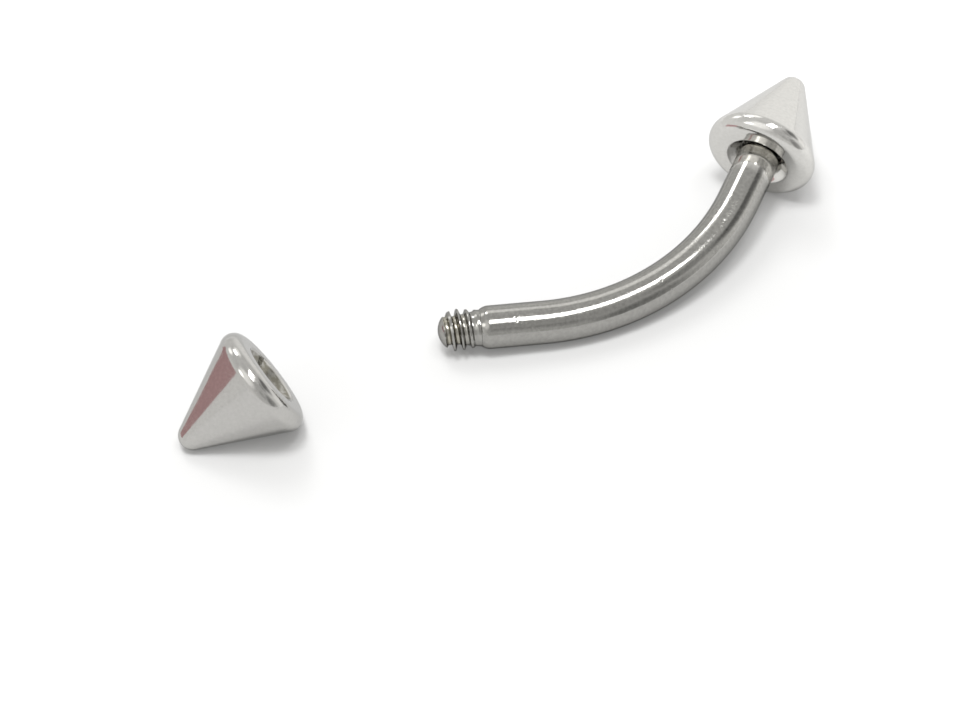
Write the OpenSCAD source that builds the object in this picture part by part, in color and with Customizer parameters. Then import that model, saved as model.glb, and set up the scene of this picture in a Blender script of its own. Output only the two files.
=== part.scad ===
// Curved barbell for an eyebrow piercing, laid down with one of its two screw-on cones taken off.
// Lengths are in millimetres. X runs to the right, Y away from the viewer and Z up from the surface.

/* [Shank] */
// Diameter of the shank
shank_d = 1.2; // [1.1:0.05:1.3]
// Radius of the bend, measured to the middle of the shank
bend_r = 6.8; // [6:0.1:9]
// Angle that the bend turns through
bend_angle = 60; // [40:1:75]
// Straight length past each end of the bend, bevel included
end_straight = 1.75; // [1.2:0.05:2.5]
// Length of the bevel at each shoulder
bevel_len = 0.15; // [0.1:0.01:0.2]
// How far the bevel cuts in from the side
bevel_depth = 0.08; // [0.07:0.005:0.09]

/* [Threaded posts] */
// Diameter over the crests of the thread
thread_d = 1.18; // [1.14:0.01:1.18]
// Distance from one crest to the next
thread_pitch = 0.25; // [0.2:0.01:0.3]
// Full depth of the thread on one side
thread_depth = 0.2; // [0.15:0.005:0.2]
// Length from the neck over which the thread grows to its full depth
run_out = 0.65; // [0.4:0.05:0.8]
// Turn of the thread about the post
thread_turn = 170; // [0:5:360]
// Length of a post from its shoulder to its domed end
post_len = 1.18; // [1:0.02:1.3]
// Diameter of the plain neck beside the shoulder
neck_d = 1.02; // [0.98:0.01:1.03]
// Length of the plain neck
neck_len = 0.03; // [0.03:0.01:0.1]
// Length over which the post's end is rounded off
dome_len = 0.58; // [0.3:0.02:0.6]

/* [Cones] */
// Diameter of a cone at its rim
cone_d = 3.16; // [2.8:0.02:3.4]
// Height of a cone
cone_h = 3.1; // [2.6:0.05:3.6]
// Radius that rounds the rim
rim_r = 0.35; // [0.1:0.01:0.45]
// Radius that rounds the tip
tip_r = 0.4; // [0.2:0.01:0.5]
// Diameter of the tapered mouth of the screw hole
mouth_d = 1.85; // [1.5:0.05:2]
// Depth of the tapered mouth
mouth_depth = 0.28; // [0.15:0.01:0.3]
// Diameter of the screw hole, which clears the crests of the thread
hole_d = 1.21; // [1.21:0.01:1.22]
// Length of the straight wall of the screw hole
hole_len = 1.35; // [1.3:0.05:1.5]

/* [How it lies] */
// Lean of the bend's plane about the line between the shank's ends
lean = 12.7; // [0:0.1:20]
// Rise of that line towards the end that carries a cone
rise = 5.1; // [3:0.1:7]
// Turn of that line on the surface
bar_turn = 32.1; // [0:0.1:60]
// Place of the middle of the bend, from the middle of the whole set
bar_at = [4.35, -0.86]; // [-10:0.01:10]
// Turn of the loose cone on the surface
loose_turn = 21.3; // [0:0.1:60]
// Place of the middle of the loose cone's base
loose_at = [-6.41, -4.07]; // [-10:0.01:10]

/* [Hidden] */
$fn = 96;

steel = [0.74, 0.74, 0.73];
bright_steel = [0.86, 0.86, 0.85];

shank_r = shank_d / 2;
half_bend = bend_angle / 2;
bend_end = [bend_r * sin(half_bend), bend_r * (1 - cos(half_bend)), 0];
end_way = [cos(half_bend), sin(half_bend), 0];

// Each straight end laps over the end of the bend, which is drawn a hair thinner so that it fits inside.
lap = 0.02;
hair = 0.005;

// Thread: four rows of points to a turn of the helix, each with its place along the pitch
// and its share of the thread's depth.
crest_r = thread_d / 2;
root_r = crest_r - thread_depth;
thread_len = post_len - neck_len;
thread_rows = [[0, 0], [0.32, 0], [0.54, 1], [0.78, 1]];
rows_a_turn = len(thread_rows);
columns = 36;
neck_taper = 0.005;
neck_inset = 0.01;
dome_end_r = 0.08;
last_row = rows_a_turn * (ceil(thread_len / thread_pitch) + 1);

// Cone: the side runs straight between the circles that round the rim and the tip.
cone_r = cone_d / 2;
hole_r = hole_d / 2;
drill_tip = 0.3;
cut_margin = 1;
rim_middle = [cone_r - rim_r, rim_r];
tip_middle = [0, cone_h - tip_r];
span = tip_middle - rim_middle;
side_angle = atan2(-span.x, span.y) + asin((rim_r - tip_r) / norm(span));
side_normal = [cos(side_angle), sin(side_angle)];

// A cone sits with its hole this far past the start of the shoulder's bevel, whose tip just enters the hole.
seat_gap = 0.14;
cone_seat = end_straight - bevel_len + seat_gap - mouth_depth;

// Heights that bring each piece down on the surface at z = 0.
function lifted(v) = sin(rise) * v.x + cos(rise) * (sin(lean) * v.y + cos(lean) * v.z);
rim_plane = bend_end + end_way * (cone_seat + rim_r);
bar_height = rim_r + rim_middle.x * sqrt(1 - pow(lifted(end_way), 2)) - lifted(rim_plane);
loose_height = rim_middle * side_normal + rim_r;

// Height along the post of a row of thread points, before it is held between the post's ends
function raw_height(i, k) =
    thread_pitch * (floor(k / rows_a_turn) - 1 + thread_rows[k % rows_a_turn][0] + i / columns);

// The rows of column i that lie on the neck and on the end of the post
function first_row(i) = max([for (k = [0:last_row]) if (raw_height(i, k) <= 0) k]);
function final_row(i) = min([for (k = [0:last_row]) if (raw_height(i, k) >= thread_len) k]);

// Outline of the rounded end, as a quarter of an ellipse
function dome_r(z) =
    let (t = max(0, z - (thread_len - dome_len)) / dome_len)
    max(dome_end_r, crest_r * sqrt(max(0, 1 - t * t)));

// Radius of the post where a row stands: the thread's form, run out at the neck and cut by the dome
function post_r(z, share) =
    let (start = neck_d / 2 - neck_inset, t = min(1, z / run_out))
    min(start + (root_r + share * thread_depth - start) * t, dome_r(z));

function thread_point(i, k) =
    let (z = min(thread_len, max(0, raw_height(i, k))),
         r = post_r(z, thread_rows[k % rows_a_turn][1]),
         turn = 360 * i / columns)
    [r * cos(turn), r * sin(turn), z];

function thread_index(i, k) = i * (last_row + 1) + min(final_row(i), max(first_row(i), k));

// Next column round the post; past the last one the helix has risen by one pitch.
function next_index(i, k) =
    i + 1 < columns ? thread_index(i + 1, k) : thread_index(0, min(last_row, k + rows_a_turn));

function proper(f) = f[0] != f[1] && f[1] != f[2] && f[2] != f[0];

module thread() {
    points = [for (i = [0:columns - 1], k = [0:last_row]) thread_point(i, k)];
    sides = [
        for (i = [0:columns - 1], k = [0:last_row - 1])
            let (a = thread_index(i, k), b = thread_index(i, k + 1),
                 c = next_index(i, k), d = next_index(i, k + 1))
            for (f = [[a, b, c], [c, b, d]]) if (proper(f)) f
    ];
    neck_face = [for (i = [0:columns - 1]) thread_index(i, 0)];
    end_face = [for (i = [columns - 1:-1:0]) thread_index(i, last_row)];
    polyhedron(points, concat(sides, [neck_face, end_face]), convexity = 6);
}

// Straight end of the shank with its shoulder, neck and thread, along +Z from the end of the bend
module shank_end() {
    translate([0, 0, -lap]) cylinder(h = lap + end_straight - bevel_len, r = shank_r);
    translate([0, 0, end_straight - bevel_len])
        cylinder(h = bevel_len, r1 = shank_r, r2 = shank_r - bevel_depth);
    translate([0, 0, end_straight]) cylinder(h = neck_len, r1 = neck_d / 2, r2 = neck_d / 2 - neck_taper);
    translate([0, 0, end_straight + neck_len]) rotate([0, 0, thread_turn]) thread();
}

// Moves a shape from +Z to one end of the bend: side 1 carries the cone, side -1 is bare.
module at_end(side) {
    rotate([0, side > 0 ? 0 : 180, 0])
        translate(bend_end)
            rotate([0, 0, half_bend])
                rotate([0, 90, 0]) children();
}

// Moves the barbell from its own frame, with the bend in the XY plane, to where it lies.
module laid_down() {
    translate([bar_at.x, bar_at.y, bar_height])
        rotate([lean, -rise, bar_turn]) children();
}

// Outline of half a cone, with the base at height 0
module cone_outline() {
    rim_touch = rim_middle + rim_r * side_normal;
    tip_touch = tip_middle + tip_r * side_normal;
    intersection() {
        union() {
            polygon([[0, 0], [rim_middle.x, 0], rim_middle, rim_touch, tip_touch, tip_middle]);
            translate(rim_middle) circle(r = rim_r);
            translate(tip_middle) circle(r = tip_r);
        }
        square([cone_r + cut_margin, cone_h + cut_margin]);
    }
}

// Outline of half the screw hole: tapered mouth, straight wall and the mark of the drill
module hole_outline() {
    wall_end = mouth_depth + hole_len;
    polygon([
        [0, -cut_margin], [mouth_d / 2, -cut_margin], [mouth_d / 2, 0],
        [hole_r, mouth_depth], [hole_r, wall_end], [0, wall_end + drill_tip]
    ]);
}

module cone() {
    rotate_extrude()
        difference() {
            cone_outline();
            hole_outline();
        }
}

// Bent shank with a threaded post at each end, in one piece
module bar() {
    color(steel)
        laid_down() {
            translate([0, bend_r, 0])
                rotate([0, 0, -90 - half_bend])
                    rotate_extrude(angle = bend_angle)
                        translate([bend_r, 0]) circle(r = shank_r - hair);
            for (side = [-1, 1]) at_end(side) shank_end();
        }
}

// Cone that is screwed home on the far end
module mounted_cone() {
    color(bright_steel)
        laid_down()
            at_end(1)
                translate([0, 0, cone_seat]) cone();
}

// Cone that has been taken off, lying on its side with its hole facing up and away
module loose_cone() {
    color(bright_steel)
        translate([loose_at.x, loose_at.y, loose_height])
            rotate([0, 0, loose_turn])
                rotate([0, -90 - side_angle, 0]) cone();
}

bar();
mounted_cone();
loose_cone();
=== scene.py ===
import math

import bmesh
import bpy
from mathutils import Matrix, Vector


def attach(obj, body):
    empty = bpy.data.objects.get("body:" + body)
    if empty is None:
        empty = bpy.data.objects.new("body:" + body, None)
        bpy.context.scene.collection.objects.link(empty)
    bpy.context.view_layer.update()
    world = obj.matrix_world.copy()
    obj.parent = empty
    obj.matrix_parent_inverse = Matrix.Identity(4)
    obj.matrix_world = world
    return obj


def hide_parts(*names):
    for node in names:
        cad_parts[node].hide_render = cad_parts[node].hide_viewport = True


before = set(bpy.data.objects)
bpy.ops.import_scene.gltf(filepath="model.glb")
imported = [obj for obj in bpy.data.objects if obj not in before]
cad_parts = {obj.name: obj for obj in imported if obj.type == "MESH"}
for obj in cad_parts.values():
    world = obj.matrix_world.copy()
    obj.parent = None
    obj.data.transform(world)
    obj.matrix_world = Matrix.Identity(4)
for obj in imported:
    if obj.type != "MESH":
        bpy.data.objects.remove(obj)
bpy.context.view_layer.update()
mm = 0.001
ringSteps = 144  # steps round the shank, the posts and the cones, so that their rings meet point for point
mergeDistance = 0.0002  # millimetres, as every piece is made in them
sharpAngle = 32  # degrees between two faces, past which the edge between them is drawn sharp

# Where the pieces lie, in millimetres and degrees, the same as in the solids
lie = {
    "lean": 12.7,  # of the bend's plane about the line between the shank's ends
    "rise": 5.1,  # of that line towards the fitted cone
    "turn": 32.1,
    "barAt": (4.35, -0.86),
    "looseTurn": 21.3,
    "looseAt": (-6.41, -4.07),
    "seatGap": 0.14,  # from the start of the shoulder's bevel to the end of the fitted cone's mouth
}

shank = {
    "radius": 0.6,
    "bendRadius": 6.8,
    "bendAngle": 60,
    "bendSteps": 200,
    "straight": 1.75,  # bevel included
    "straightRows": 24,
    "bevelLength": 0.15,
    "bevelDepth": 0.08,
    "shoulderRound": 0.35,
    "roundSteps": 12,
    # worn end of the bevel, from its corner: outwards, along the shank, and rows
    "bevelEnd": ((0.008, -0.012, 3), (-0.004, 0.0, 1)),
}

post = {
    "length": 1.18,
    "crestRadius": 0.59,
    "depth": 0.2,
    "pitch": 0.25,
    "turn": 170,
    "neckRadius": 0.505,
    "neckLength": 0.03,
    "neckFillet": 0.006,
    "neckRows": 2,
    "runOut": 0.65,  # length over which the thread grows to its full depth
    "domeLength": 0.58,
    "threadEnd": 1.05,  # past here the rounded end is plain
    "domeSteps": 10,
    "spareTurns": 2,  # turns of thread that start below the neck
    # place along the pitch and share of the depth, from the root at (0, 0) to the crest and back
    "form": ((0.16, 0.0), (0.28, 0.02), (0.34, 0.08), (0.52, 0.82), (0.56, 0.94), (0.61, 1.0),
             (0.71, 1.0), (0.76, 0.94), (0.8, 0.82), (0.94, 0.12), (0.98, 0.03), (1.0, 0.0)),
}

cone = {
    "rimRadius": 1.58,
    "height": 3.1,
    "rimRound": 0.35,
    "rimSteps": 28,
    "tipRound": 0.4,
    "tipSteps": 14,
    "sideRows": 40,
    "baseRows": 6,
    "mouthRadius": 0.925,
    "mouthDepth": 0.28,
    "mouthRound": 0.03,
    # edge of the mouth, in shares of that rounding: outwards, up, and rows
    "mouthEdge": ((-0.9, 0.5, 6), (-0.3, 0.1, 1), (0.6, 0.0, 1)),
    "mouthGroove": 0.85,  # share of the groove colour that the mouth's taper takes, where the root of a thread takes 1: painted light in the fitted cone's mouth, darker in the loose cone's
    "holeRadius": 0.605,
    "holeLength": 1.35,
    "drillTip": 0.3,
    "drillRows": 4,
    "threadGap": 0.03,  # clearance between the two threads
}


def spot(x, z):
    return Vector((x, 0.0, z))


def startPen(bm, x, z):
    return bm.verts.new(spot(x, z))


def penLine(bm, vert, x, z, rows=1):
    start = vert.co.copy()
    for i in range(rows):
        made = bmesh.ops.extrude_vert_indiv(bm, verts=[vert])["verts"][0]
        made.co = start.lerp(spot(x, z), (i + 1) / rows)
        vert = made
    return vert


def penArc(bm, vert, centre, degrees, steps):
    made = bmesh.ops.spin(bm, geom=[vert], cent=spot(*centre), axis=(0, 1, 0), dvec=(0, 0, 0),
                          angle=math.radians(degrees), steps=steps, use_duplicate=False)
    return [v for v in made["geom_last"] if isinstance(v, bmesh.types.BMVert)][0]


def lathe(bm):
    bmesh.ops.spin(bm, geom=bm.verts[:] + bm.edges[:], cent=(0, 0, 0), axis=(0, 0, 1), dvec=(0, 0, 0),
                   angle=math.tau, steps=ringSteps, use_merge=True)


def domeRadius(height):
    # Outline of a post's rounded end, as a quarter of an ellipse. The height is from the shoulder.
    t = max(0.0, height - (post["length"] - post["domeLength"])) / post["domeLength"]
    return post["crestRadius"] * math.sqrt(max(0.0, 1 - t * t))


def helix(length, rootRadius, startRadius, endRadius=None, shift=0.0):
    # One pitch of the thread's form is screwed along the axis, and what passes either end is brought back.
    # The last half pitch closes to the end radius. Without one the thread follows a post's rounded end.
    bm = bmesh.new()
    pitch = post["pitch"]
    low = shift - post["spareTurns"] * pitch
    pen = startPen(bm, rootRadius, low)
    for place, share in post["form"]:
        pen = penLine(bm, pen, rootRadius + share * post["depth"], low + place * pitch)
    turns = math.ceil(length / pitch) + post["spareTurns"]
    bmesh.ops.spin(bm, geom=bm.verts[:] + bm.edges[:], cent=(0, 0, 0), axis=(0, 0, 1),
                   dvec=(0, 0, pitch / ringSteps), angle=math.tau * turns, steps=ringSteps * turns)
    bmesh.ops.rotate(bm, cent=(0, 0, 0), matrix=Matrix.Rotation(math.radians(post["turn"]), 3, "Z"),
                     verts=bm.verts[:])
    groove = bm.verts.layers.float.new("groove")
    for v in bm.verts:
        z = min(length, max(0.0, v.co.z))
        radius = math.hypot(v.co.x, v.co.y)
        share = (radius - rootRadius) / post["depth"]
        grown = min(1.0, z / post["runOut"])
        v[groove] = (1 - share) * grown
        want = startRadius + (radius - startRadius) * grown
        if endRadius is None:
            want = min(want, domeRadius(z + post["neckLength"]))
        else:
            want = want + (endRadius - want) * min(1.0, max(0.0, 1 - 2 * (length - z) / pitch))
        v.co = Vector((v.co.x * want / radius, v.co.y * want / radius, z))
    bmesh.ops.remove_doubles(bm, verts=bm.verts[:], dist=mergeDistance)
    return bm


def join(bm, other, matrix):
    # Adds another bmesh to this one, and frees it
    mesh = bpy.data.meshes.new("joined")
    bmesh.ops.transform(other, matrix=matrix, verts=other.verts[:])
    other.to_mesh(mesh)
    other.free()
    bm.from_mesh(mesh)
    bpy.data.meshes.remove(mesh)


def addObject(name, data):
    made = bpy.data.objects.new(name, data)
    bpy.context.scene.collection.objects.link(made)
    return made


def finishPiece(name, bm, matrix, material, body, node):
    bmesh.ops.remove_doubles(bm, verts=bm.verts[:], dist=mergeDistance)
    bmesh.ops.dissolve_degenerate(bm, edges=bm.edges[:], dist=mergeDistance / 10)
    bmesh.ops.recalc_face_normals(bm, faces=bm.faces[:])
    bmesh.ops.transform(bm, matrix=Matrix.Scale(mm, 4) @ matrix, verts=bm.verts[:])
    openEdges = [e for e in bm.edges if not e.is_manifold]
    for f in bm.faces:
        f.smooth = True
    for e in bm.edges:
        e.smooth = e.calc_face_angle(0) < math.radians(sharpAngle)
    groove = bm.verts.layers.float["groove"]
    print(name, "faces", len(bm.faces), "open edges", len(openEdges), "volume mm3",
          round(bm.calc_volume() / mm ** 3, 2), "deepest groove", round(max(v[groove] for v in bm.verts), 2))
    mesh = bpy.data.meshes.new(name)
    bm.to_mesh(mesh)
    bm.free()
    mesh.materials.append(material)
    piece = addObject(name, mesh)
    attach(piece, body)
    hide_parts(node)


def turned(x, y, z):
    return (Matrix.Rotation(math.radians(z), 4, "Z") @ Matrix.Rotation(math.radians(y), 4, "Y")
            @ Matrix.Rotation(math.radians(x), 4, "X"))


def endMatrix(side):
    # From +Z to one end of the bend: side 1 carries the cone, side -1 is bare
    half = shank["bendAngle"] / 2
    r = shank["bendRadius"]
    reach = Vector((r * math.sin(math.radians(half)), r * (1 - math.cos(math.radians(half))), 0))
    return (turned(0, 0 if side > 0 else 180, 0) @ Matrix.Translation(reach) @ turned(0, 0, half)
            @ turned(0, 90, 0))


# A cone's side runs straight between the circles that round its rim and its tip.
rimMiddle = (cone["rimRadius"] - cone["rimRound"], cone["rimRound"])
tipMiddle = (0.0, cone["height"] - cone["tipRound"])
sideRise = tipMiddle[1] - rimMiddle[1]
middlesAngle = math.atan2(rimMiddle[0], sideRise)
roundingAngle = math.asin((cone["rimRound"] - cone["tipRound"]) / math.hypot(rimMiddle[0], sideRise))
sideAngle = math.degrees(middlesAngle + roundingAngle)
wallStart = lie["seatGap"] - shank["bevelLength"]  # of a fitted cone's hole, from the shoulder
coneSeat = shank["straight"] + wallStart - cone["mouthDepth"]


def laidDown():
    # The height brings the fitted cone's rim down to touch the surface.
    turn = turned(lie["lean"], -lie["rise"], lie["turn"])
    rimPlane = turn @ (endMatrix(1) @ Vector((0, 0, coneSeat + cone["rimRound"])))
    way = (turn @ endMatrix(1)).to_3x3() @ Vector((0, 0, 1))
    height = cone["rimRound"] + rimMiddle[0] * math.sqrt(1 - way.z ** 2) - rimPlane.z
    return Matrix.Translation((*lie["barAt"], height)) @ turn


def looseMatrix():
    a = math.radians(sideAngle)
    height = rimMiddle[0] * math.cos(a) + rimMiddle[1] * math.sin(a) + cone["rimRound"]
    return Matrix.Translation((*lie["looseAt"], height)) @ turned(0, -90 - sideAngle, lie["looseTurn"])


fittedMatrix = laidDown() @ endMatrix(1) @ Matrix.Translation((0, 0, coneSeat))


def endPiece():
    # Straight, bevelled shoulder, neck, thread and rounded tip of one end, along +Z
    bm = bmesh.new()
    bevelStart = shank["straight"] - shank["bevelLength"]
    shoulderRadius = shank["radius"] - shank["bevelDepth"]
    slope = math.degrees(math.atan2(shank["bevelDepth"], shank["bevelLength"]))
    roundRadius = shank["shoulderRound"]
    soft = roundRadius / math.tan(math.radians(90 - slope / 2))
    neckEnd = shank["straight"] + post["neckLength"]
    pen = startPen(bm, shank["radius"], 0)
    pen = penLine(bm, pen, shank["radius"], bevelStart - soft, shank["straightRows"])
    pen = penArc(bm, pen, (shank["radius"] - roundRadius, bevelStart - soft), -slope, shank["roundSteps"])
    for out, along, rows in shank["bevelEnd"]:
        pen = penLine(bm, pen, shoulderRadius + out, shank["straight"] + along, rows)
    pen = penLine(bm, pen, post["neckRadius"], shank["straight"] + post["neckFillet"])
    penLine(bm, pen, post["neckRadius"], neckEnd, post["neckRows"])
    domeStart = post["length"] - post["domeLength"]
    lowTurn = math.asin((post["threadEnd"] - domeStart) / post["domeLength"])
    pen = startPen(bm, domeRadius(post["threadEnd"]), shank["straight"] + post["threadEnd"])
    for i in range(post["domeSteps"]):
        a = lowTurn + (math.pi / 2 - lowTurn) * (i + 1) / post["domeSteps"]
        pen = penLine(bm, pen, post["crestRadius"] * math.cos(a),
                      shank["straight"] + domeStart + post["domeLength"] * math.sin(a))
    lathe(bm)
    rootRadius = post["crestRadius"] - post["depth"]
    thread = helix(post["threadEnd"] - post["neckLength"], rootRadius, post["neckRadius"])
    join(bm, thread, Matrix.Translation((0, 0, neckEnd)))
    return bm


def buildBar(material):
    bm = bmesh.new()
    bmesh.ops.create_circle(bm, segments=ringSteps, radius=shank["radius"], matrix=endMatrix(-1))
    bmesh.ops.spin(bm, geom=bm.verts[:] + bm.edges[:], cent=(0, shank["bendRadius"], 0), axis=(0, 0, 1),
                   dvec=(0, 0, 0), angle=math.radians(shank["bendAngle"]), steps=shank["bendSteps"])
    for side in (-1, 1):
        join(bm, endPiece(), endMatrix(side))
    finishPiece("barbellShank", bm, laidDown(), material, "barbell", "bar")


def conePiece():
    # Base at height 0 and tip up, with the mouth, the thread and the mark of the drill inside
    bm = bmesh.new()
    wallEnd = cone["mouthDepth"] + cone["holeLength"]
    pen = startPen(bm, 0, wallEnd + cone["drillTip"])
    penLine(bm, pen, cone["holeRadius"], wallEnd, cone["drillRows"])
    pen = startPen(bm, cone["holeRadius"], cone["mouthDepth"])
    edge = cone["mouthRound"]
    for out, up, rows in cone["mouthEdge"]:
        pen = penLine(bm, pen, cone["mouthRadius"] + edge * out, edge * up, rows)
    pen = penLine(bm, pen, rimMiddle[0], 0, cone["baseRows"])
    pen = penArc(bm, pen, rimMiddle, -(90 + sideAngle), cone["rimSteps"])
    a = math.radians(sideAngle)
    touch = (tipMiddle[0] + cone["tipRound"] * math.cos(a), tipMiddle[1] + cone["tipRound"] * math.sin(a))
    pen = penLine(bm, pen, *touch, cone["sideRows"])
    penArc(bm, pen, tipMiddle, -(90 - sideAngle), cone["tipSteps"])
    lathe(bm)
    groove = bm.verts.layers.float.new("groove")
    for v in bm.verts:
        if edge < v.co.z < wallEnd and math.hypot(v.co.x, v.co.y) < cone["mouthRadius"] - edge:
            v[groove] = cone["mouthGroove"]
    rootRadius = post["crestRadius"] - post["depth"] + cone["threadGap"]
    shift = (post["neckLength"] - wallStart) % post["pitch"]  # keeps the two threads in step
    thread = helix(cone["holeLength"], rootRadius, cone["holeRadius"], cone["holeRadius"], shift)
    join(bm, thread, Matrix.Translation((0, 0, cone["mouthDepth"])))
    return bm


def shaderTree(name):
    material = bpy.data.materials.new(name)
    material.use_nodes = True
    return material, material.node_tree.nodes, material.node_tree.links


def addNode(nodes, kind, inputs=None, **settings):
    node = nodes.new(kind)
    for key, value in settings.items():
        setattr(node, key, value)
    for key, value in (inputs or {}).items():
        node.inputs[key].default_value = value
    return node


def mathNode(nodes, links, operation, a, b):
    # A Math node whose inputs are sockets or plain numbers
    node = addNode(nodes, "ShaderNodeMath", operation=operation)
    for i, value in enumerate((a, b)):
        if isinstance(value, (int, float)):
            node.inputs[i].default_value = value
        else:
            links.new(value, node.inputs[i])
    return node.outputs[0]


def rangeNode(nodes, links, value, fromMin, fromMax, toMin, toMax, smooth=False):
    spans = {"From Min": fromMin, "From Max": fromMax, "To Min": toMin, "To Max": toMax}
    node = addNode(nodes, "ShaderNodeMapRange", spans)
    if smooth:
        node.interpolation_type = "SMOOTHSTEP"
    links.new(value, node.inputs["Value"])
    return node.outputs["Result"]


def wornSurfaceGroup():
    # Waves, blotches, pits and hairline marks of handled steel. The vector comes in millimetres,
    # and so do their depths and the height.
    tree = bpy.data.node_groups.new("wornSurface", "ShaderNodeTree")
    face = tree.interface
    face.new_socket("Vector", in_out="INPUT", socket_type="NodeSocketVector")
    for name in ("Waves", "Blotches", "Pits", "Marks"):
        face.new_socket(name, in_out="INPUT", socket_type="NodeSocketFloat")
    for name in ("Height", "Blotch", "Mark"):
        face.new_socket(name, in_out="OUTPUT", socket_type="NodeSocketFloat")
    nodes, links = tree.nodes, tree.links
    given = addNode(nodes, "NodeGroupInput")
    out = addNode(nodes, "NodeGroupOutput")
    waves = addNode(nodes, "ShaderNodeTexNoise", {"Scale": 1.4, "Detail": 1.0, "Roughness": 0.4})
    blotches = addNode(nodes, "ShaderNodeTexNoise", {"Scale": 11.0, "Detail": 3.0, "Roughness": 0.55})
    patches = addNode(nodes, "ShaderNodeTexNoise", {"Scale": 1.1, "Detail": 2.0, "Roughness": 0.5})
    pits = addNode(nodes, "ShaderNodeTexVoronoi", {"Scale": 6.0, "Randomness": 1.0}, feature="F1")
    hairs = addNode(nodes, "ShaderNodeTexNoise",
                    {"Scale": 2.0, "Detail": 2.0, "Roughness": 0.6, "Distortion": 0.3})
    drawnOut = addNode(nodes, "ShaderNodeMapping", {"Scale": (0.5, 2.6, 2.6)})
    links.new(given.outputs["Vector"], drawnOut.inputs["Vector"])
    links.new(drawnOut.outputs["Vector"], hairs.inputs["Vector"])
    for node in (waves, blotches, patches, pits):
        links.new(given.outputs["Vector"], node.inputs["Vector"])
    pitDepth = rangeNode(nodes, links, pits.outputs["Distance"], 0.1, 0.32, -1.0, 0.0, True)
    pitField = rangeNode(nodes, links, patches.outputs["Fac"], 0.5, 0.62, 0.0, 1.0, True)
    pit = mathNode(nodes, links, "MULTIPLY", pitDepth, pitField)
    # A hairline runs where the drawn out noise crosses its middle value.
    offMiddle = mathNode(nodes, links, "SUBTRACT", hairs.outputs["Fac"], 0.5)
    fromLine = mathNode(nodes, links, "ABSOLUTE", offMiddle, 0)
    line = rangeNode(nodes, links, fromLine, 0.0, 0.02, 1.0, 0.0, True)
    faint = rangeNode(nodes, links, patches.outputs["Fac"], 0.4, 0.6, 0.2, 1.0)
    mark = mathNode(nodes, links, "MULTIPLY", line, faint)
    cut = mathNode(nodes, links, "MULTIPLY", mark, -1.0)
    height = mathNode(nodes, links, "MULTIPLY", waves.outputs["Fac"], given.outputs["Waves"])
    for amount, value in (("Blotches", blotches.outputs["Fac"]), ("Pits", pit), ("Marks", cut)):
        part = mathNode(nodes, links, "MULTIPLY", value, given.outputs[amount])
        height = mathNode(nodes, links, "ADD", height, part)
    links.new(height, out.inputs["Height"])
    links.new(blotches.outputs["Fac"], out.inputs["Blotch"])
    links.new(mark, out.inputs["Mark"])
    return tree


wornSurface = wornSurfaceGroup()

shankLook = {
    "steel": (0.34, 0.335, 0.318),
    "paintedReflection": (0.7, 0.69, 0.66),  # painted reflection: steel brightened just in front of the fitted cone, standing in for the reflection of the cone's base in the shank
    "paintedReflectionReach": (0.72, 0.98),  # millimetres from the middle of the cone's mouth
    "edgeTint": 0.45,  # darkens what is seen at a low angle
    "shade": (0.9, 1.08),  # darkest and lightest blotches
    "grooveDirtAndLight": (0.4, 0.38, 0.32),  # painted light and dirt: lighter than the steel in the thread's roots, lifting the shade the crests cast there, and warm like dirt
    "roughness": (0.08, 0.14),
    "worn": {"Waves": 0.004, "Blotches": 0.0004, "Pits": 0.0022, "Marks": 0.0004},
}

coneLook = {
    "steel": (0.61, 0.602, 0.58),
    "edgeTint": 0.75,
    "shade": (0.96, 1.04),
    "grooveDirtAndLight": (0.68, 0.67, 0.64),  # painted light: lighter than the steel inside its mouth, lifting the shade there
    "roughness": (0.06, 0.1),
    "worn": {"Waves": 0.004, "Blotches": 0.00015, "Pits": 0.0008, "Marks": 0.0005},
}

# The loose cone's steel is a darker copy of the fitted cone's, painted shade. It is also rougher and more
# uneven, and darker inside its mouth.
looseShadedLook = {
    **coneLook,
    "steel": (0.485, 0.478, 0.46),
    "edgeTint": 0.72,
    "grooveDirtAndLight": (0.17, 0.16, 0.125),
    "roughness": (0.08, 0.14),
    "worn": {"Waves": 0.006, "Blotches": 0.0006, "Pits": 0.0012, "Marks": 0.0005},
}

# Dirt and painted light in the grooves of every piece: the groove colour lightens the shank's thread roots
# and the fitted cone's mouth, and darkens the loose cone's mouth
dirtAndLightLook = {
    "depth": (0.35, 1.0),  # share of a groove's depth where it starts, and where it is full
    "groovePatchScale": 7.0,
    "groovePatchShares": (0.45, 1.0),  # weakest and strongest share of the groove colour
    "roughness": 0.04,
    "markRoughness": 0.12,  # of the hairline marks
}


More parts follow.
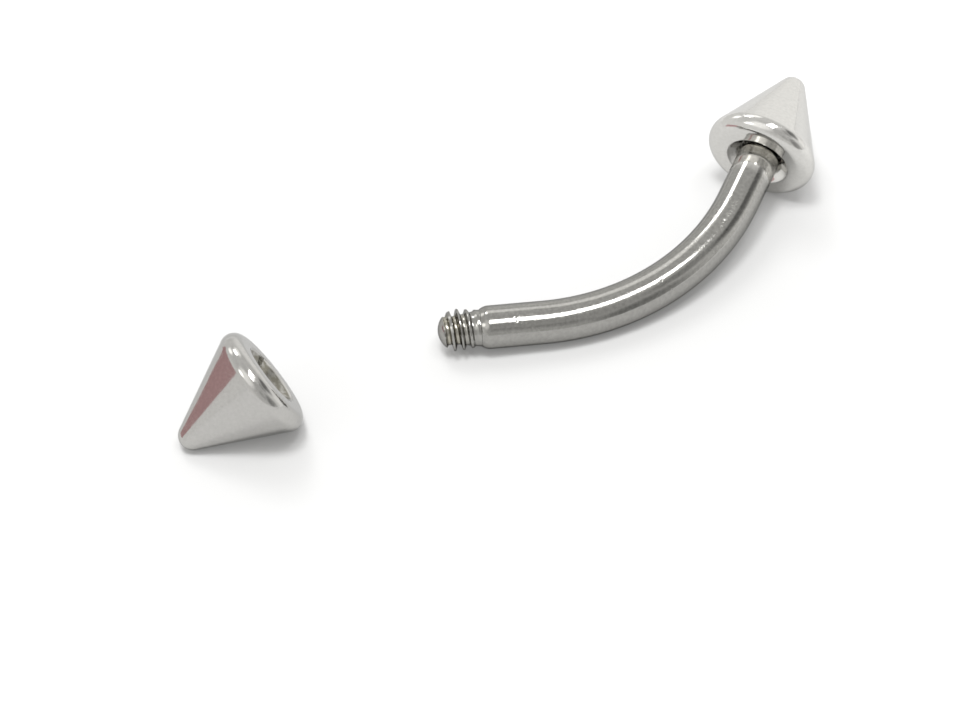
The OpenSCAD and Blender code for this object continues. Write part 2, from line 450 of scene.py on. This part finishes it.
def steelMaterial(name, look):
    material, nodes, links = shaderTree(name)
    shader = nodes["Principled BSDF"]
    shader.inputs["Metallic"].default_value = 1
    shader.inputs["Specular Tint"].default_value = (look["edgeTint"],) * 3 + (1,)
    coords = addNode(nodes, "ShaderNodeTexCoord")
    inMillimetres = addNode(nodes, "ShaderNodeMapping", {"Scale": (1 / mm,) * 3})
    links.new(coords.outputs["Object"], inMillimetres.inputs["Vector"])
    worn = addNode(nodes, "ShaderNodeGroup", node_tree=wornSurface)
    for key, value in look["worn"].items():
        worn.inputs[key].default_value = value
    links.new(inMillimetres.outputs["Vector"], worn.inputs["Vector"])
    groove = addNode(nodes, "ShaderNodeAttribute", attribute_name="groove")
    groovePatchNoise = addNode(nodes, "ShaderNodeTexNoise", {"Scale": dirtAndLightLook["groovePatchScale"], "Detail": 2.0})
    links.new(inMillimetres.outputs["Vector"], groovePatchNoise.inputs["Vector"])
    # Mask of the groove colour, patchy by noise: painted light in the shank's thread roots and the fitted
    # cone's mouth, warm dirt on the shank; it also makes the grooves rougher
    deep = rangeNode(nodes, links, groove.outputs["Fac"], *dirtAndLightLook["depth"], 0.0, 1.0, True)
    groovePatchiness = rangeNode(nodes, links, groovePatchNoise.outputs["Fac"], 0.35, 0.6, *dirtAndLightLook["groovePatchShares"])
    dirtAndPaintedLight = mathNode(nodes, links, "MULTIPLY", deep, groovePatchiness)
    shade = rangeNode(nodes, links, worn.outputs["Blotch"], 0.3, 0.7, *look["shade"])
    steel = addNode(nodes, "ShaderNodeVectorMath", operation="SCALE")
    steel.inputs[0].default_value = look["steel"]
    # Painted reflection: near the fitted cone's mouth the shank's steel is brightened, standing in for the
    # cone base's reflection
    if "paintedReflection" in look:
        fromMouth = addNode(nodes, "ShaderNodeVectorMath", operation="DISTANCE")
        links.new(inMillimetres.outputs["Vector"], fromMouth.inputs[0])
        fromMouth.inputs[1].default_value = fittedMatrix.to_translation()
        near = rangeNode(nodes, links, fromMouth.outputs["Value"], *look["paintedReflectionReach"], 1.0, 0.0, True)
        steelAndPaintedReflection = addNode(nodes, "ShaderNodeMix", {"A": (*look["steel"], 1), "B": (*look["paintedReflection"], 1)},
                        data_type="RGBA")
        links.new(near, steelAndPaintedReflection.inputs["Factor"])
        links.new(steelAndPaintedReflection.outputs["Result"], steel.inputs[0])
    links.new(shade, steel.inputs["Scale"])
    colour = addNode(nodes, "ShaderNodeMix", data_type="RGBA")
    links.new(dirtAndPaintedLight, colour.inputs["Factor"])
    links.new(steel.outputs[0], colour.inputs["A"])
    colour.inputs["B"].default_value = (*look["grooveDirtAndLight"], 1)
    links.new(colour.outputs["Result"], shader.inputs["Base Color"])
    plainRoughness = rangeNode(nodes, links, worn.outputs["Blotch"], 0.35, 0.65, *look["roughness"])
    byDirt = mathNode(nodes, links, "MULTIPLY", dirtAndPaintedLight, dirtAndLightLook["roughness"])
    byMarks = mathNode(nodes, links, "MULTIPLY", worn.outputs["Mark"], dirtAndLightLook["markRoughness"])
    rougher = mathNode(nodes, links, "ADD", byDirt, byMarks)
    roughness = mathNode(nodes, links, "ADD", plainRoughness, rougher)
    links.new(roughness, shader.inputs["Roughness"])
    bump = addNode(nodes, "ShaderNodeBump", {"Strength": 1.0, "Distance": mm})
    links.new(worn.outputs["Height"], bump.inputs["Height"])
    links.new(bump.outputs["Normal"], shader.inputs["Normal"])
    return material


print("building the pieces")
buildBar(steelMaterial("shankSteel", shankLook))
finishPiece("fittedCone", conePiece(), fittedMatrix, steelMaterial("coneSteel", coneLook), "fitted_cone",
            "mounted_cone")
# The loose cone takes the darker steel, a painted-shade copy of the fitted cone's
finishPiece("looseCone", conePiece(), looseMatrix(), steelMaterial("looseConeShadedSteel", looseShadedLook), "barbell",
            "loose_cone")


def flatSheet(name, size, matrix, material):
    bm = bmesh.new()
    bmesh.ops.create_grid(bm, x_segments=1, y_segments=1, size=0.5)
    bmesh.ops.scale(bm, vec=(*size, 1), verts=bm.verts[:])
    bmesh.ops.transform(bm, matrix=Matrix.Scale(mm, 4) @ matrix, verts=bm.verts[:])
    mesh = bpy.data.meshes.new(name)
    bm.to_mesh(mesh)
    bm.free()
    mesh.materials.append(material)
    return addObject(name, mesh)


floor = {
    "size": (600, 600),
    "front": 0.43,
    "back": 0.54,  # paler there, as the light falls off towards the viewer
    "fadeWay": (0.7, 0.7, 0),  # towards the fitted cone
    "fade": (4, 16),  # millimetres along that way
    "glow": 0.12,  # light that the translucent floor spreads into the shadows
    "glowColour": (1, 1, 0.99),
    "roughness": 0.9,
}


def buildFloor():
    material, nodes, links = shaderTree("palePaper")
    shader = nodes["Principled BSDF"]
    coords = addNode(nodes, "ShaderNodeTexCoord")
    along = addNode(nodes, "ShaderNodeVectorMath", operation="DOT_PRODUCT")
    links.new(coords.outputs["Object"], along.inputs[0])
    along.inputs[1].default_value = Vector(floor["fadeWay"]) / mm
    shades = (floor["front"], floor["back"])
    pale = rangeNode(nodes, links, along.outputs["Value"], *floor["fade"], *shades, True)
    links.new(pale, shader.inputs["Base Color"])
    shader.inputs["Emission Color"].default_value = (*floor["glowColour"], 1)
    shader.inputs["Emission Strength"].default_value = floor["glow"]
    shader.inputs["Roughness"].default_value = floor["roughness"]
    shader.inputs["Specular IOR Level"].default_value = 0
    piece = flatSheet("paleFloor", floor["size"], Matrix(), material)


view = {
    "target": (-0.833, -2.567, 0.0),
    "distance": 86.75,
    "elevation": 45.89,
    "roll": -4.34,
    "lens": 118.65,
    "sensor": 36,
    "clip": (0.001, 10),  # metres
}


def buildCamera():
    tilt = math.radians(view["elevation"])
    data = bpy.data.cameras.new("camera")
    data.lens = view["lens"]
    data.sensor_width = view["sensor"]
    data.clip_start, data.clip_end = view["clip"]
    camera = addObject("camera", data)
    back = Vector((0, -math.cos(tilt), math.sin(tilt)))
    camera.matrix_world = (Matrix.Translation((Vector(view["target"]) + back * view["distance"]) * mm)
                           @ Matrix.Rotation(math.pi / 2 - tilt, 4, "X")
                           @ Matrix.Rotation(math.radians(view["roll"]), 4, "Z"))
    bpy.context.scene.camera = camera


# Studio light. Directions are from the middle of the set: +Y is away from the viewer and Z is up.
studio = {
    "distance": 300,
    # direction, size in millimetres, watts, and whether the steel mirrors it
    "softboxes": {
        "overhead": ((0.213, -0.18, 0.96), (178, 64), 0.32, True),
        "backLeft": ((-0.246, 0.608, 0.755), (66, 66), 0.08, True),
        "closeShade": ((-0.076, -0.127, 0.988), (72, 72), 0.58, False),
        "broadShade": ((-0.2, 0.5, 0.84), (110, 110), 0.2, False),
    },
    "roomColour": (1.0, 0.995, 0.98),
    # height of the direction and brightness of the room there
    "room": ((0.0, 1.0), (0.12, 0.95), (0.36, 0.95), (0.6, 0.85), (0.8, 0.8), (0.93, 0.85), (1.0, 0.75)),
    # azimuth and elevation, inner and outer spread in degrees, and what is added to the room there
    "patches": (
        (94, 46, 3, 15, 0.9),  # glow beside the back softbox
        (-78, 28, 20, 50, -0.2),  # towards the viewer
        (-46, 9, 5, 25, -0.45),
        (-23, 43, 6, 16, -0.3),
        (-75, 25, 3, 13, -0.2),
        (3, 31, 8, 19, -0.6),
        (5, 8, 4, 22, 0.3),
        (-130, 50, 10, 30, 0.6),
        (60, 6, 15, 40, 0.3),
        (-156, 38, 3, 11, 2.0),  # glints on the thread and the bare shoulder
        (135, 32, 4, 12, 1.3),
    ),
}


def towards(azimuth, elevation):
    a, e = math.radians(azimuth), math.radians(elevation)
    return Vector((math.cos(a) * math.cos(e), math.sin(a) * math.cos(e), math.sin(e)))


def buildSoftbox(name, direction, size, watts, mirrored):
    data = bpy.data.lights.new(name, "AREA")
    data.shape = "RECTANGLE"
    data.size = size[0] * mm
    data.size_y = size[1] * mm
    data.energy = watts
    light = addObject(name, data)
    way = Vector(direction).normalized()
    light.location = way * studio["distance"] * mm
    light.rotation_euler = way.to_track_quat("Z", "Y").to_euler()
    light.visible_glossy = mirrored


# A tinted card on the left, which only reflections show: the pink strip in the loose cone
roseCard = {
    "at": (-15, -1.1, 2),
    "size": (10.2, 4),
    "colour": (0.6, 0.385, 0.39),
}


def buildRoseCard():
    material, nodes = shaderTree("rosePaper")[:2]
    shader = nodes["Principled BSDF"]
    shader.inputs["Base Color"].default_value = (0, 0, 0, 1)
    shader.inputs["Specular IOR Level"].default_value = 0
    shader.inputs["Emission Color"].default_value = (*roseCard["colour"], 1)
    shader.inputs["Emission Strength"].default_value = 1
    upright = Matrix.Translation(roseCard["at"]) @ turned(90, 0, 90)
    card = flatSheet("roseCard", roseCard["size"], upright, material)
    card.visible_camera = False
    card.visible_diffuse = False
    card.visible_shadow = False


def buildRoom():
    world = bpy.data.worlds.new("studio")
    bpy.context.scene.world = world
    world.use_nodes = True
    nodes, links = world.node_tree.nodes, world.node_tree.links
    coords = addNode(nodes, "ShaderNodeTexCoord")
    split = addNode(nodes, "ShaderNodeSeparateXYZ")
    links.new(coords.outputs["Generated"], split.inputs[0])
    ramp = addNode(nodes, "ShaderNodeValToRGB")
    links.new(split.outputs["Z"], ramp.inputs["Fac"])
    stops = ramp.color_ramp.elements
    while len(stops) < len(studio["room"]):
        stops.new(0.5)
    for stop, (place, grey) in zip(stops, studio["room"]):
        stop.position = place
        stop.color = (grey, grey, grey, 1)
    total = ramp.outputs["Color"]
    for azimuth, elevation, inner, outer, added in studio["patches"]:
        facing = addNode(nodes, "ShaderNodeVectorMath", operation="DOT_PRODUCT")
        links.new(coords.outputs["Generated"], facing.inputs[0])
        facing.inputs[1].default_value = towards(azimuth, elevation)
        part = rangeNode(nodes, links, facing.outputs["Value"], math.cos(math.radians(outer)),
                         math.cos(math.radians(inner)), 0.0, added, True)
        total = mathNode(nodes, links, "ADD", total, part)
    links.new(total, nodes["Background"].inputs["Strength"])
    nodes["Background"].inputs["Color"].default_value = (*studio["roomColour"], 1)


print("setting the stage")
buildFloor()
buildCamera()
for name, box in studio["softboxes"].items():
    buildSoftbox(name, *box)
buildRoseCard()
buildRoom()
bpy.context.scene.view_settings.view_transform = "Standard"
